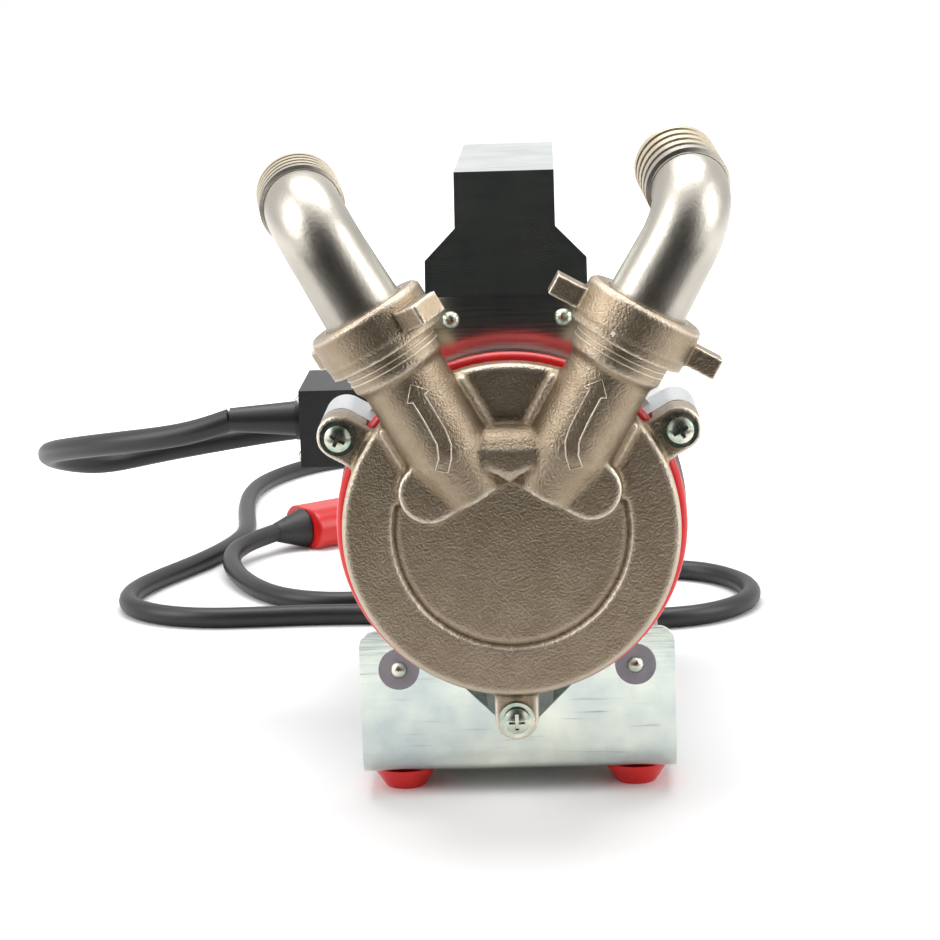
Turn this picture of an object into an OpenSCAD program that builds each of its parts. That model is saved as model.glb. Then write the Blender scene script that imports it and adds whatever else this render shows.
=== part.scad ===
// Electric transfer pump: a cast pump head on a round motor, with a sheet steel base and handle.
// X runs to the right seen from the front, Y runs back along the motor and Z up.
// The origin is on the floor, under the middle of the whole pump without its lead.

/* [Layout] */
// Space between the motor and the floor
motor_clear = 38; // [33:0.5:56]
// Depth at which the motor's front shield starts, behind the cover's face
shield_y = 31.5; // [31:0.5:40]
// Gap between two pieces that are pushed together
fit_gap = 0.02; // [0.01:0.01:0.05]
// Radial gap between a turning piece and the one that it turns in
run_gap = 0.05; // [0.02:0.01:0.1]
// Gap between two pieces that pass each other freely
free_gap = 0.3; // [0.2:0.05:0.6]

/* [Pump cover] */
// How far the round cover stands out past the pump body
cover_lip = 1; // [0.5:0.1:2]
// Thickness of the cover's rim
cover_t = 8; // [8:0.5:10]
// Chamfer round the rim's front edge
rim_edge = 1.2; // [0.5:0.1:2]
// Width of the rim round the lower face
face_in = 16.8; // [15:0.1:19]
// How far that face lies below the rim
face_drop = 0.8; // [0.4:0.1:1.5]
// Width of the groove round that face
groove_w = 1.8; // [1:0.1:3]
// Depth of the groove
groove_t = 1.6; // [1:0.1:2.5]

/* [Cover lugs] */
// Distance from the pump body out to each cover screw
lug_out = 9; // [8:0.5:14]
// Radius of a lug's round end
lug_r = 6.65; // [6.4:0.05:7]
// Depth at which a lug's face starts
lug_y = 3; // [2:0.5:4]
// Length of the cover's lug
lug_l = 13; // [10:0.5:14]
// Length of the motor shield's lug
shield_lug_l = 9; // [7:0.5:11]

/* [Ports] */
// Angle of each port from the vertical
port_tilt = 29.5; // [27:0.5:32]
// Distance from the pump's axis to each port's axis
port_shift = 3; // [2:0.5:4]
// Outer radius of a port tube
port_r = 13; // [12:0.5:13.5]
// Radius of a port's bore
port_bore_r = 7.5; // [6:0.5:7.5]
// Radius of a port tube at its lower end
port_end_r = 9.5; // [9:0.1:11]
// Length over which the port tube narrows to that end
port_taper = 16; // [12:0.5:20]
// Distance along the port to the casting's flat lower end
port_low = 14.4; // [13:0.2:16]
// Distance along the port from the cover's edge to the collar under the nut
collar_out = 8.5; // [7:0.5:11]
// Radius of the collar and the thread
thread_r = 14.7; // [14:0.1:15.2]
// Length of the port inside its nut
port_in_nut = 7.8; // [6.8:0.2:8.8]
// Radius of the window from a port into the pump chamber
window_r = 6; // [4:0.5:6.5]
// Radius of the round lobe at each port's foot
lobe_r = 9.2; // [8:0.2:10]
// Distance from the port's axis to the lobe's centre
lobe_out = 11.2; // [10:0.2:12]
// Height of the lobes above the rim
lobe_h = 7; // [5:0.5:9]
// Width of the cast step beside each port tube
skirt_w = 2.2; // [1:0.2:4]
// Height of that step above the rim
skirt_h = 1.4; // [0.6:0.1:2.5]
// Height of the web between the ports above the rim
web_h = 9.5; // [8:0.5:11]
// Height above the pump's axis at which the web ends
web_top = 33; // [30:0.5:36]

/* [Red ring] */
// How far the red ring stands out past the pump body
ring_out = 3.2; // [2.5:0.1:4]
// Width of the red ring along the axis
ring_w = 5; // [4:0.5:6]

/* [Pump body] */
// Outer radius of the pump body
body_r = 50; // [44:0.5:60]
// Radius of the pump chamber
chamber_r = 31; // [30:0.5:36]
// Depth of the chamber behind the cover
chamber_l = 12; // [11:0.5:13]
// Thickness of the wall behind the chamber
chamber_wall = 4; // [3:0.5:5]
// Thickness of the sealing ring's section
oring_t = 2; // [1.5:0.25:3]

/* [Impeller] */
// Gap between the impeller and the chamber
imp_gap = 0.5; // [0.3:0.1:1]
// Radius of the impeller's hub
hub_r = 9.5; // [8.5:0.5:11]
// Number of impeller blades
blade_n = 12; // [6:1:16]
// Thickness of an impeller blade
blade_t = 1.8; // [1:0.2:3]
// Width of the key between impeller and shaft
key_w = 2; // [1.5:0.25:3]

/* [Union nuts] */
// Distance along the port from the collar's lower edge to the nut
nut_up = 6.7; // [5.5:0.1:7.5]
// Height of a union nut
nut_l = 13.9; // [13:0.1:15]
// Outer radius of a union nut
nut_r = 18.45; // [17.5:0.05:19]
// Height of the turned band at the nut's lower end
nut_band = 3.4; // [2:0.2:5]
// Distance from the nut's axis to the tip of a wing
wing_r = 27.6; // [26:0.1:28]
// Thickness of a wing along the nut's axis
wing_l = 6.6; // [5:0.2:7]
// Width of a wing round the nut
wing_w = 10; // [8:0.5:12]
// Height of the wing's middle above the nut's lower face
wing_mid = 6.3; // [5.5:0.1:7]
// Turn of the left nut's wings about the port
left_wing_turn = -45; // [-90:5:90]
// Turn of the right nut's wings about the port
right_wing_turn = 0; // [-90:5:90]

/* [Elbows] */
// Outer radius of an elbow at the nut
elbow_low_r = 12.2; // [11.5:0.1:12.5]
// Outer radius of an elbow round the bend
elbow_r = 11.7; // [11:0.1:12]
// Radius of an elbow's bore
elbow_bore_r = 9.2; // [8:0.2:10]
// Thickness of the elbow's flange inside the nut
flange_l = 2.5; // [2:0.25:3]
// Distance along the port from the nut to the start of the bend
bend_up = 17.9; // [14:0.1:24]
// Radius of the bend's centre line
bend_r = 16.8; // [15:0.2:24]
// Angle of the bend
bend_angle = 79; // [70:1:90]
// Number of ribs on a hose tail
rib_n = 5; // [3:1:7]
// Spacing of the ribs
rib_pitch = 3.9; // [3:0.1:5]
// Radius over the ribs
rib_r = 12.9; // [12.4:0.1:13.5]
// Depth of the grooves between the ribs
rib_h = 1.1; // [0.6:0.1:1.5]
// Turn of the left elbow outwards
left_swivel = 4; // [-20:1:40]
// Turn of the right elbow outwards, negative inwards
right_swivel = -17; // [-20:1:40]

/* [Motor] */
// How far the motor stands out past the pump body
motor_out = 4; // [2:0.5:5]
// Thickness of the motor casing's wall
casing_t = 4; // [3:0.5:5]
// Thickness of each motor shield
shield_l = 12; // [11.5:0.5:15]
// Length of the casing between the shields
casing_l = 110; // [100:1:140]
// Distance of the tie rods inside the casing's inner wall
rod_in = 5.5; // [5:0.1:6]
// Radius of a tie rod
rod_r = 2; // [1.5:0.25:2.25]
// Length of the stator and rotor cores
core_l = 70; // [50:1:80]
// Radius of the rotor, as a share of the casing's inner radius
rotor_share = 0.544; // [0.48:0.002:0.56]
// Gap between rotor and stator
air_gap = 0.5; // [0.3:0.1:1]
// Number of stator slots
slot_n = 24; // [12:6:24]
// Thickness of the stator outside its slots
yoke_t = 10.7; // [9.7:0.1:13]
// Radius of the shaft
shaft_r = 6; // [5.5:0.25:6.5]
// Radius of the shaft's ends
shaft_end_r = 5; // [4.5:0.25:5.25]

/* [Bearings] */
// Outer radius of a ball bearing
bearing_r = 16; // [15.5:0.25:17]
// Width of a ball bearing
bearing_w = 10; // [9:0.5:11]
// Radius of a bearing's balls
ball_r = 2.9; // [2.5:0.1:3.2]
// Number of balls in a bearing
ball_n = 7; // [6:1:8]

/* [Fan and cowl] */
// Space between the cooling fan and its cowl
fan_gap = 8; // [4:0.5:16]
// Length of the fan's blades
fan_l = 10; // [8:0.5:13]
// Number of fan blades
fan_n = 8; // [6:1:12]
// Length of the fan cowl
cowl_l = 39.5; // [36:0.5:50]
// Thickness of the cowl
cowl_t = 1.6; // [1.2:0.1:2]
// Number of air slots in the cowl
vent_n = 20; // [12:2:24]
// Width of an air slot
vent_w = 3.6; // [2:0.2:4]

/* [Base] */
// Thickness of the zinc-plated sheet
sheet_t = 2; // [1.5:0.25:2.5]
// Distance from the base's fasteners to its sides
base_edge = 12.3; // [8:0.1:14]
// Height of the base's underside above the floor
base_h = 7; // [5:0.5:8]
// Outer radius of the base's bends
base_bend = 8; // [6:0.5:9]
// Distance from the base's fasteners to its upper edge
base_over = 11.9; // [10:0.1:14]
// Radius of the base's upper corners
base_corner = 5; // [3:0.5:7]
// Distance from the lowest cover screw down to the notch's floor
notch_under = 11; // [9:0.5:13]
// Half the width of the notch's floor
notch_half = 3; // [2:0.5:4]
// Gap round the pump body in the sheet
arch_gap = 1.2; // [0.6:0.1:1.5]
// Distance of the base's fasteners outside the motor
base_fix_out = 8.2; // [7:0.1:9]
// Angle of the base's fasteners below the sideways direction
base_fix_angle = 53.4; // [50:0.2:56]

/* [Feet] */
// Distance of the feet from the base's sides
foot_side = 12.4; // [11:0.1:16]
// Distance of the feet from the base's ends
foot_in = 15.5; // [12:0.5:20]
// Radius of a foot at its top
foot_top_r = 11; // [9:0.5:12]
// Radius of a foot on the floor
foot_low_r = 6.4; // [5:0.2:8]
// Radius of a foot screw
foot_screw_r = 2; // [1.5:0.25:2]

/* [Handle] */
// Distance from the handle's front fasteners to its sides
handle_edge = 7.6; // [7:0.2:11]
// Width of the handle's grip and of its rear leg
grip_w = 31; // [30:0.2:36]
// Height of the handle's lower bends above the motor
bend_rise = 13.4; // [13.2:0.2:16]
// Height above the motor at which the front leg starts to narrow
neck_rise = 24.2; // [22:0.1:27]
// Height of the grip's top above the motor
grip_rise = 50.5; // [46:0.5:66]
// Lean of the handle's legs from the vertical
handle_lean = 20; // [12:1:24]
// Distance of the handle's front fasteners outside the motor
handle_fix_out = 8.8; // [8:0.1:9]
// Distance of its rear fasteners outside the motor
rear_fix_out = 7; // [6.6:0.1:7.2]
// Angle of the front fasteners from the sideways direction
front_fix_angle = 74; // [72:0.5:76]
// Angle of the rear fasteners from the sideways direction
rear_fix_angle = 80; // [79:0.5:82]

/* [Fasteners] */
// Radius of a cover screw
screw_r = 2; // [1.5:0.25:2.25]
// Radius of a cover screw's head
screw_head_r = 4; // [3.5:0.1:4.4]
// Height of a cover screw's head
screw_head_h = 2.6; // [2:0.1:3]
// Radius of the washers under the cover screws
washer_r = 5.5; // [5:0.1:5.8]
// Thickness of those washers
washer_t = 1; // [0.6:0.1:1.4]
// Radius of a dome fastener's head
dome_r = 2.72; // [2.5:0.01:3.2]
// Height of a dome fastener's head
dome_h = 1.9; // [1.5:0.1:2.2]
// Radius of a dome fastener's shank
dome_shank_r = 1.6; // [1.2:0.1:1.8]
// Radius of the ears that carry the sheet
ear_r = 6.5; // [6:0.1:7]
// Thickness of the ears
ear_t = 6; // [5:0.5:7]
// Radius of the grey spacers
spacer_r = 6.4; // [6:0.1:7]
// Thickness of the grey spacers
spacer_t = 0.8; // [0.5:0.1:1]

/* [Switch box] */
// Distance from the motor to the box's outer face
box_depth = 19; // [17:0.5:26]
// Height of the box
box_h = 26.4; // [25:0.2:30]
// Height of the box's middle above the axis
box_z = 12.6; // [6:0.2:14]
// Thickness of the box's walls
box_t = 2; // [1.5:0.1:2.4]
// Thickness of the lid
lid_t = 2.4; // [2:0.1:3]
// Length of the switch's bezel along the motor
switch_l = 19; // [18:0.5:20]
// Height of the switch's bezel
switch_h = 13; // [12:0.5:15]
// How far the switch tilts each way
switch_tilt = 10; // [6:1:12]
// Distance of the cable gland from the box's front
gland_in = 12; // [11:0.5:13]
// Height of the cable gland above the box's middle
gland_up = 1.8; // [-2:0.2:2.4]
// Radius of the cable gland's flange
gland_r = 7.5; // [7:0.1:8]
// Length of the tapered strain relief
relief_l = 25; // [20:1:40]

/* [Capacitor] */
// Space between the motor capacitor and the motor
cap_gap = 7; // [5:0.5:11]
// Length of the motor capacitor
cap_l = 58; // [45:1:70]
// Width of the clip round the capacitor
clip_w = 12; // [8:1:16]

/* [Lead and plug] */
// Radius of the mains lead
cord_r = 4; // [3:0.25:4.5]
// Thickness of the plug
plug_h = 18; // [16:0.5:20]
// Width of the plug
plug_w = 30; // [26:1:34]
// Length of the plug's red part
plug_l = 30; // [26:1:36]
// Radius of a plug pin
pin_r = 2; // [1.9:0.1:2.4]
// Length of a plug pin
pin_l = 19; // [17:0.5:20]
// Distance between the plug's pins
pin_gap = 19; // [17:0.5:20]

/* [Hidden] */

// Facets of round pieces
round_fn = 96;
small_fn = 32;
nut_sides = 6;
// How far a cut runs past the surface that it opens
over = 1;

// Place of the pump's axis, and of the cover's face, in the frame of the whole part
axis_x = 15;
face_y = -91;

// Outer radii that follow the pump body
cover_r = body_r + cover_lip;
face_r = cover_r - face_in;
ring_r = body_r + ring_out;
lug_pitch_r = body_r + lug_out;
oring_r = (chamber_r + body_r) / 2;
motor_r = body_r + motor_out;
axis_h = motor_r + motor_clear;

// Places along the motor's axis, as depths behind the cover's face
lug_end = lug_y + lug_l;
chamber_end = cover_t + chamber_l;
seal_y = chamber_end + chamber_wall;
plate_y = shield_y - sheet_t;
casing_y = shield_y + shield_l;
casing_end = casing_y + casing_l;
shield_end = casing_end + shield_l;
plate_end = shield_end + sheet_t;
cowl_end = shield_end + cowl_l;
casing_mid = casing_y + casing_l / 2;
fan_hub_lap = 4;
core_y = casing_mid - core_l / 2;
core_end = core_y + core_l;

// Shoulder of an elbow's neck in the nut's lip, and how far the fan cowl laps over the rear shield
elbow_shoulder = 0.5;
cowl_lap = 6;

// Radii that fit round or inside others
casing_in_r = motor_r - casing_t;
arch_r = body_r + arch_gap;
rear_arch_r = motor_r + free_gap * 2;
impeller_r = chamber_r - imp_gap;
rod_pitch_r = casing_in_r - rod_in;
rotor_r = casing_in_r * rotor_share;
stator_in_r = rotor_r + air_gap;
nut_bore_r = thread_r + run_gap;
lip_r = elbow_low_r + elbow_shoulder + run_gap;
cowl_in_r = motor_r - cowl_t;
fan_r = cowl_in_r - fan_gap;

// Places along a port, from the pump's axis outwards
collar_low = cover_r + collar_out;
nut_low = collar_low + nut_up;
nut_high = nut_low + nut_l;
port_end = nut_low + port_in_nut;
port_seal_l = 2;
flange_low = port_end + port_seal_l + free_gap;
flange_high = flange_low + flange_l;
bend_start = nut_high + bend_up;
flange_r = thread_r - free_gap;

// Lug, ear and hole places round the axis, as angles from the X axis
lug_angles = [30, 150, 270];
handle_fix_r = motor_r + handle_fix_out;
rear_fix_r = motor_r + rear_fix_out;
base_fix_r = motor_r + base_fix_out;
base_fix_x = base_fix_r * cos(base_fix_angle);
base_fix_z = base_fix_r * sin(base_fix_angle);
base_fix_places = [[base_fix_x, -base_fix_z], [-base_fix_x, -base_fix_z]];
front_fix_places = [for (side = [-1, 1]) handle_fix_r * [side * cos(front_fix_angle), sin(front_fix_angle)]];
rear_fix_places = [for (side = [-1, 1]) rear_fix_r * [side * cos(rear_fix_angle), sin(rear_fix_angle)]];
front_ears = concat(front_fix_places, base_fix_places);
rear_ears = concat(rear_fix_places, base_fix_places);
rod_angles = [45, 135, 225, 315];
cowl_screw_angles = [20, 160, 200, 340];

// Frame of the front view: x to the right, y up and z towards the front
module head() {
    placed() translate([0, 0, axis_h]) rotate([90, 0, 0]) children();
}

// Frame on the floor straight below the middle of the cover's face
module placed() {
    translate([axis_x, face_y, 0]) children();
}

// A flat shape of the front view between two depths
module slab(from_y, to_y) {
    translate([0, 0, -to_y]) linear_extrude(to_y - from_y) children();
}

// A round bar along the axis between two depths
module bar(from_y, to_y, r, fn = round_fn) {
    translate([0, 0, -to_y]) cylinder(h = to_y - from_y, r = r, $fn = fn);
}

// A ring along the axis between two depths
module ring(from_y, to_y, out_r, in_r) {
    difference() {
        bar(from_y, to_y, out_r);
        bar(from_y - over, to_y + over, in_r);
    }
}

// A turned shape, given as points of radius and depth
module turned(points) {
    rotate_extrude($fn = round_fn) polygon([for (p = points) [p[0], -p[1]]]);
}

// Copies at a radius and some angles of the front view
module round_about(r, angles) {
    for (a = angles) rotate([0, 0, a]) translate([r, 0, 0]) children();
}

// Frame of a port inside the front view: z along the port, y to the back and x across.
// The side is -1 on the left and 1 on the right.
module port_axis(side) {
    rotate([0, 0, -side * port_tilt]) translate([side * port_shift, 0, 0]) rotate([-90, 0, 0]) children();
}

// A shell between two radii along the frame's z axis
module tube(h, out_r, in_r, fn = round_fn) {
    difference() {
        cylinder(h = h, r = out_r, $fn = fn);
        translate([0, 0, -over]) cylinder(h = h + 2 * over, r = in_r, $fn = fn);
    }
}

// A spherical cap on the plane z = 0
module cap(r, h) {
    ball = (r * r + h * h) / (2 * h);
    intersection() {
        translate([0, 0, h - ball]) sphere(r = ball, $fn = small_fn);
        cylinder(h = h, r = r, $fn = small_fn);
    }
}

// A three-lug outline round a body of a given radius, between two depths
module lugs(from_y, to_y, root_r) {
    round_about(0, lug_angles) slab(from_y, to_y) {
        translate([lug_pitch_r, 0]) circle(r = lug_r, $fn = round_fn);
        translate([root_r, -lug_r]) square([lug_pitch_r - root_r, 2 * lug_r]);
    }
}

module lug_holes(from_y, to_y, r) {
    round_about(lug_pitch_r, lug_angles) bar(from_y, to_y, r, small_fn);
}

// Pump cover: cast plate with a rim, three lugs, two ports in a V and a round lobe at each port's foot
lug_root = cover_r - 2 * lug_r;
nut_pocket_r = 6.5;
nut_pocket_t = 5;
port_v = port_low / cos(port_tilt);
notch_top = port_v + face_drop;
notch_w = (notch_top - lobe_r) / tan(port_tilt);

module cover_plate() {
    difference() {
        turned([[0, 0], [cover_r - rim_edge, 0], [cover_r, rim_edge], [cover_r, cover_t], [0, cover_t]]);
        intersection() {
            union() {
                bar(-over, face_drop, face_r);
                ring(-over, groove_t, face_r + groove_w, face_r - fit_gap);
            }
            union() {
                translate([0, lobe_r, 0] - [cover_r, 2 * cover_r, cover_t])
                    cube([2 * cover_r, 2 * cover_r, 2 * cover_t]);
                slab(-cover_t, cover_t)
                    polygon([[-notch_w, lobe_r - over], [notch_w, lobe_r - over], [0, notch_top]]);
            }
        }
    }
}

// The tube is turned so that no seam lies in the rim's plane
seam_turn = 45;

module port_outside(side) {
    port_axis(side) {
        rotate([0, 0, seam_turn]) rotate_extrude($fn = round_fn) polygon([
            [0, port_low], [port_end_r, port_low], [port_r, port_low + port_taper],
            [port_r, collar_low - thread_r + port_r], [thread_r, collar_low], [thread_r, port_end],
            [0, port_end]
        ]);
        translate([side * lobe_out, -lobe_h, port_low + lobe_r]) rotate([-90, 0, 0])
            cylinder(h = lobe_h + cover_t + over, r = lobe_r, $fn = round_fn);
        translate([side > 0 ? 0 : -lobe_out, -lobe_h, port_low])
            cube([lobe_out, lobe_h + cover_t + over, lobe_r]);
    }
}

module port_skirt(side) {
    intersection() {
        port_axis(side) translate([-port_r - skirt_w, -skirt_h, port_low])
            cube([2 * (port_r + skirt_w), skirt_h + cover_t / 2, cover_r]);
        bar(-skirt_h, cover_t, cover_r - rim_edge);
    }
}

module port_inside(side) {
    port_axis(side) {
        translate([0, 0, port_low + lobe_r / 2]) cylinder(h = port_end, r = port_bore_r, $fn = round_fn);
        translate([0, 0, port_low + lobe_r / 2 + port_bore_r])
            rotate([-90, 0, 0]) cylinder(h = cover_t + over, r = window_r, $fn = round_fn);
    }
}

// Web in the V of the ports, rounded over to the rim at its upper end
module port_web() {
    half = web_top * tan(port_tilt) + port_shift / cos(port_tilt);
    intersection() {
        slab(-web_h, cover_t / 2) polygon([[0, port_v + port_shift], [-half, web_top], [half, web_top]]);
        union() {
            slab(-web_h, cover_t / 2) translate([-half, 0]) square([2 * half, web_top - web_h]);
            translate([-half, web_top - web_h, 0]) rotate([0, 90, 0])
                cylinder(h = 2 * half, r = web_h, $fn = round_fn);
        }
    }
}

module pump_cover() color("tan") head() difference() {
    union() {
        cover_plate();
        lugs(lug_y, lug_end, lug_root);
        for (side = [-1, 1]) {
            port_outside(side);
            port_skirt(side);
        }
        port_web();
    }
    bar(cover_t, lug_end + over, ring_r + free_gap);
    for (side = [-1, 1]) port_inside(side);
    lug_holes(lug_y - over, lug_end + over, screw_r + run_gap);
    bar(cover_t - nut_pocket_t, cover_t + over, nut_pocket_r);
}

// Cover screws: long cross-head screws through the cover's and the body's lugs into the motor shield
cross_w = 1.1;
cross_t = 1.4;
cross_share = 0.62;

module cover_screws() color("silver") head() round_about(lug_pitch_r, lug_angles) {
    seat = lug_y - washer_t;
    difference() {
        union() {
            bar(seat - screw_head_h / 2, seat, screw_head_r, small_fn);
            translate([0, 0, screw_head_h / 2 - seat]) cap(screw_head_r, screw_head_h / 2);
        }
        for (a = [0, 90]) rotate([0, 0, a])
            translate([-screw_head_r * cross_share, -cross_w / 2, screw_head_h - seat - cross_t])
                cube([2 * screw_head_r * cross_share, cross_w, cross_t + over]);
    }
    bar(seat, shield_y + shield_lug_l - screw_r, screw_r, small_fn);
}

module cover_washers() color("gainsboro") head() round_about(lug_pitch_r, lug_angles)
    difference() {
        bar(lug_y - washer_t, lug_y, washer_r, small_fn);
        bar(lug_y - 2 * washer_t, lug_y + over, screw_r + fit_gap, small_fn);
    }

// Red ring: a moulded band round the joint behind the cover
ring_round = ring_w / 2;

module red_ring() color("red") head() difference() {
    rotate_extrude($fn = round_fn) {
        translate([ring_r - ring_round, -cover_t - ring_round]) circle(r = ring_round, $fn = small_fn);
        translate([body_r + fit_gap, -cover_t - ring_w])
            square([ring_r - ring_round - body_r - fit_gap, ring_w]);
    }
    bar(cover_t - over, cover_t + ring_w + over, body_r + fit_gap);
}

// Sealing ring between cover and body
oring_share = 0.9;
oring_bed = oring_t * oring_share;

module cover_oring() color("black") head()
    ring(cover_t, cover_t + oring_bed, oring_r + oring_t / 2 - fit_gap, oring_r - oring_t / 2 + fit_gap);

// Pump body: cast ring with the chamber, the shaft seal's seat and lugs for the long screws
seal_r = 13;
seal_shares = [0.62, 0.8];
body_hole_gap = 1;
body_hole_r = shaft_r + body_hole_gap;

module pump_body() color("lightgray") head() difference() {
    union() {
        bar(cover_t, shield_y, body_r);
        lugs(lug_end, shield_y, body_r - lug_r);
    }
    bar(cover_t - over, chamber_end, chamber_r);
    bar(cover_t, shield_y + over, body_hole_r);
    bar(seal_y, shield_y + over, seal_r);
    ring(cover_t - over, cover_t + oring_bed + fit_gap, oring_r + oring_t / 2, oring_r - oring_t / 2);
    lug_holes(lug_end - over, shield_y + over, screw_r + fit_gap);
}

module shaft_seal() color("dimgray") head() difference() {
    bar(seal_y, shield_y - fit_gap, seal_r - fit_gap);
    bar(seal_y - over, shield_y + over, shaft_r + run_gap);
    ring(seal_y + chamber_wall / 2, shield_y + over, seal_r * seal_shares[1], seal_r * seal_shares[0]);
}

// Impeller: straight-bladed star on the shaft's end, held by a key and a nut
imp_y = cover_t + imp_gap;
imp_end = chamber_end - imp_gap;
key_l = chamber_l / 2;
thread_share = 0.5;
nut_shares = [3.6, 1.6];
shaft_thread_r = shaft_end_r * thread_share;
nut_af = shaft_thread_r * nut_shares[0];
nut_t = shaft_thread_r * nut_shares[1];

module impeller() color("goldenrod") head() difference() {
    union() {
        bar(imp_y, imp_end, hub_r);
        intersection() {
            bar(imp_y, imp_end, impeller_r);
            round_about(0, [for (i = [0 : blade_n - 1]) i * 360 / blade_n])
                slab(imp_y, imp_end) translate([0, -blade_t / 2]) square([impeller_r + over, blade_t]);
        }
    }
    bar(imp_y - over, imp_end + over, shaft_end_r + fit_gap);
    key_space(fit_gap);
}

module key_space(gap) {
    slab(imp_end - key_l - gap, imp_end + over)
        translate([shaft_end_r - key_w / 2 - gap, -key_w / 2 - gap])
        square([key_w + 2 * gap, key_w + 2 * gap]);
}

module impeller_key() color("silver") head()
    slab(imp_end - key_l, imp_end) translate([shaft_end_r - key_w / 2, -key_w / 2]) square([key_w, key_w]);

module impeller_nut() color("silver") head() difference() {
    bar(imp_y - nut_t, imp_y - fit_gap, nut_af / 2 / cos(180 / nut_sides), nut_sides);
    bar(imp_y - nut_t - over, imp_y + over, shaft_thread_r + fit_gap, small_fn);
}

// Union nut: cast ring with an inner lip and two wings, over the port's thread
module union_nut(side, turn) {
    head() port_axis(side) rotate([0, 0, turn]) difference() {
        union() {
            translate([0, 0, nut_low]) cylinder(h = nut_band, r = nut_r - free_gap, $fn = round_fn);
            translate([0, 0, nut_low + nut_band])
                cylinder(h = nut_l - nut_band - rim_edge, r = nut_r, $fn = round_fn);
            translate([0, 0, nut_high - rim_edge])
                cylinder(h = rim_edge, r1 = nut_r, r2 = nut_r - rim_edge, $fn = round_fn);
            intersection() {
                translate([-wing_r, -wing_w / 2, nut_low + wing_mid - wing_l / 2])
                    cube([2 * wing_r, wing_w, wing_l]);
                cylinder(h = nut_high, r = wing_r + free_gap, $fn = round_fn);
            }
        }
        translate([0, 0, nut_low - over])
            cylinder(h = flange_high + free_gap - nut_low + over, r = nut_bore_r, $fn = round_fn);
        translate([0, 0, nut_low]) cylinder(h = nut_l + over, r = lip_r, $fn = round_fn);
    }
}

module left_union_nut() color("tan") union_nut(-1, left_wing_turn);
module right_union_nut() color("tan") union_nut(1, right_wing_turn);

// Elbow: flanged neck, bend and ribbed tail in one casting
tail_l = rib_n * rib_pitch;
tail_lap = 0.5;
bead = 0.2;
crest_share = 0.56;
slope_share = 0.14;

// Outline of the ribs as radius and distance along the tail
function rib_points() = [
    for (i = [0 : rib_n - 1], p = [
        [rib_r - rib_h, slope_share], [rib_r, 2 * slope_share],
        [rib_r, 2 * slope_share + crest_share], [rib_r - rib_h, 3 * slope_share + crest_share]
    ]) [p[0], (i + p[1]) * rib_pitch]
];

module elbow(side, swivel) {
    head() port_axis(side) rotate([0, 0, -side * swivel]) difference() {
        union() {
            neck(flange_low, flange_high, flange_r, flange_r);
            neck(flange_high, nut_high + elbow_shoulder,
                elbow_low_r + elbow_shoulder, elbow_low_r + elbow_shoulder);
            neck(nut_high, bend_start, elbow_low_r, elbow_r);
            bend(elbow_r);
            tail_frame() rotate_extrude($fn = round_fn) polygon(concat(
                [[0, -tail_lap], [elbow_r + bead, -tail_lap], [elbow_r + bead, 0]], rib_points(),
                [[elbow_r, tail_l], [0, tail_l]]));
        }
        neck(flange_low - over, bend_start + tail_lap, elbow_bore_r + bead, elbow_bore_r + bead);
        bend(elbow_bore_r);
        tail_frame() translate([0, 0, -tail_lap])
            cylinder(h = tail_l + tail_lap + over, r = elbow_bore_r + bead, $fn = round_fn);
    }
}

// A round length of the elbow between two distances along the port
module neck(low, high, r_low, r_high) {
    translate([0, 0, low]) cylinder(h = high - low, r1 = r_low, r2 = r_high, $fn = round_fn);
}

module bend(r) {
    translate([0, bend_r, bend_start]) rotate([90, 0, -90])
        rotate_extrude(angle = bend_angle, $fn = round_fn)
            translate([bend_r, 0]) circle(r = r, $fn = round_fn);
}

module tail_frame() {
    translate([0, bend_r, bend_start]) rotate([-bend_angle, 0, 0]) translate([0, -bend_r, 0]) children();
}

module left_elbow() color("darkgray") elbow(-1, left_swivel);
module right_elbow() color("darkgray") elbow(1, right_swivel);

module port_seals() color("black") for (side = [-1, 1]) head() port_axis(side)
    translate([0, 0, port_end]) tube(port_seal_l, flange_r, elbow_bore_r);

// Motor shields: cast end covers with ears for the sheet metal and a pocket for the bearing
spigot_l = 3;
spigot_t = 1.8;
pocket_r = bearing_r + fit_gap;
shaft_hole_r = shaft_r + 2 * free_gap;

module ears(places, from_y, to_y) {
    for (p = places) slab(from_y, to_y) {
        translate(p) circle(r = ear_r, $fn = round_fn);
        rotate(atan2(p[1], p[0])) translate([motor_r - ear_r, -ear_r])
            square([norm(p) - motor_r + ear_r, 2 * ear_r]);
    }
}

module fastener_holes(places, from_y, to_y) {
    for (p = places) translate(p) bar(from_y, to_y, dome_shank_r + fit_gap, small_fn);
}

module front_shield() color("silver") head() difference() {
    union() {
        bar(shield_y, casing_y, motor_r);
        lugs(shield_y, shield_y + shield_lug_l, motor_r - lug_r);
        ears(front_ears, shield_y, shield_y + ear_t);
        ring(casing_y, casing_y + spigot_l, casing_in_r - fit_gap, casing_in_r - spigot_t);
    }
    bar(casing_y - bearing_w, casing_y + over, pocket_r);
    bar(shield_y - over, casing_y, shaft_hole_r);
    lug_holes(shield_y - over, shield_y + shield_lug_l - fit_gap, screw_r + fit_gap);
    fastener_holes(front_ears, shield_y - over, shield_y + ear_t + over);
    round_about(rod_pitch_r, rod_angles)
        bar(casing_y - shield_l / 2, casing_y + over, rod_r + fit_gap, small_fn);
}

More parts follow.
